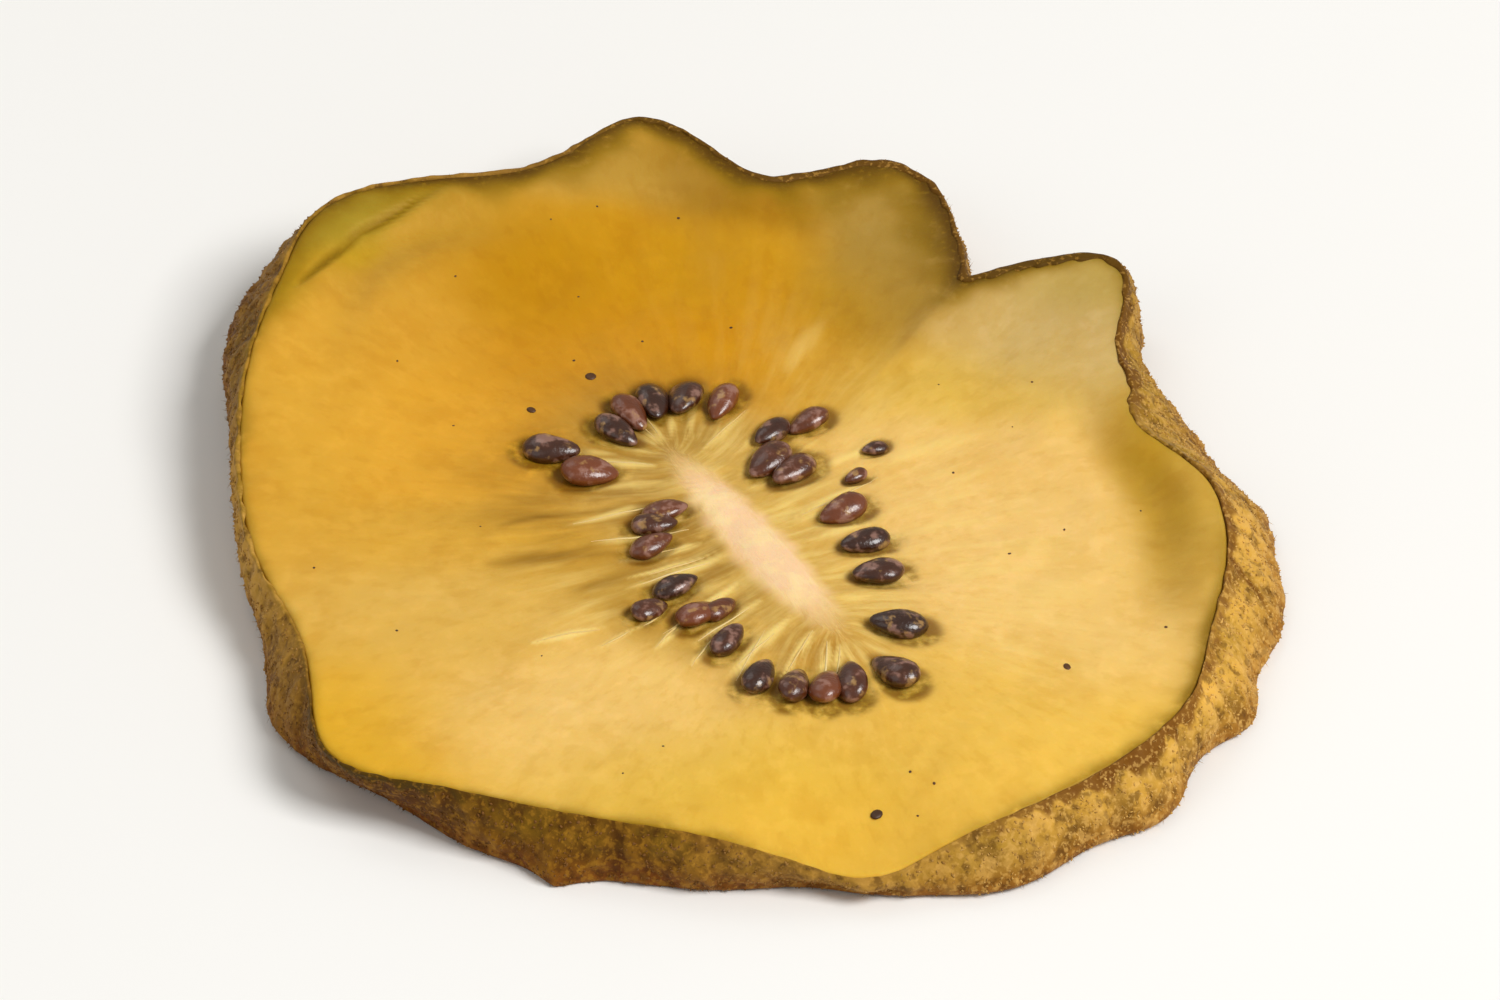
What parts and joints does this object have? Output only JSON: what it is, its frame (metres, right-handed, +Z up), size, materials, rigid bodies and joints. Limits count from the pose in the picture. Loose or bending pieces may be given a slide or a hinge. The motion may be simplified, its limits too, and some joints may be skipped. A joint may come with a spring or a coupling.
{
  "type": "dried kiwi slice",
  "caption": "Dried slice of golden kiwi fruit with its skin on, cut across the fruit, with a curled rim, a pale slit-shaped core and dark seeds round it.",
  "frame": {"origin": "on the surface that the slice lies on, under the middle of its outline", "axes": "+Z up, out of the upper cut face; +Y towards the notched back of the outline and -Y towards the picture's camera; +X to the right as seen from the front"},
  "size_m": [0.0378, 0.0396, 0.0042],
  "materials": {
    "dried_flesh": "satin amber dried fruit flesh, with a matt golden brown skin round it"
  },
  "bodies": {
    "root": {"kiwi_slice": "dried_flesh"}
  },
  "joints": []
}
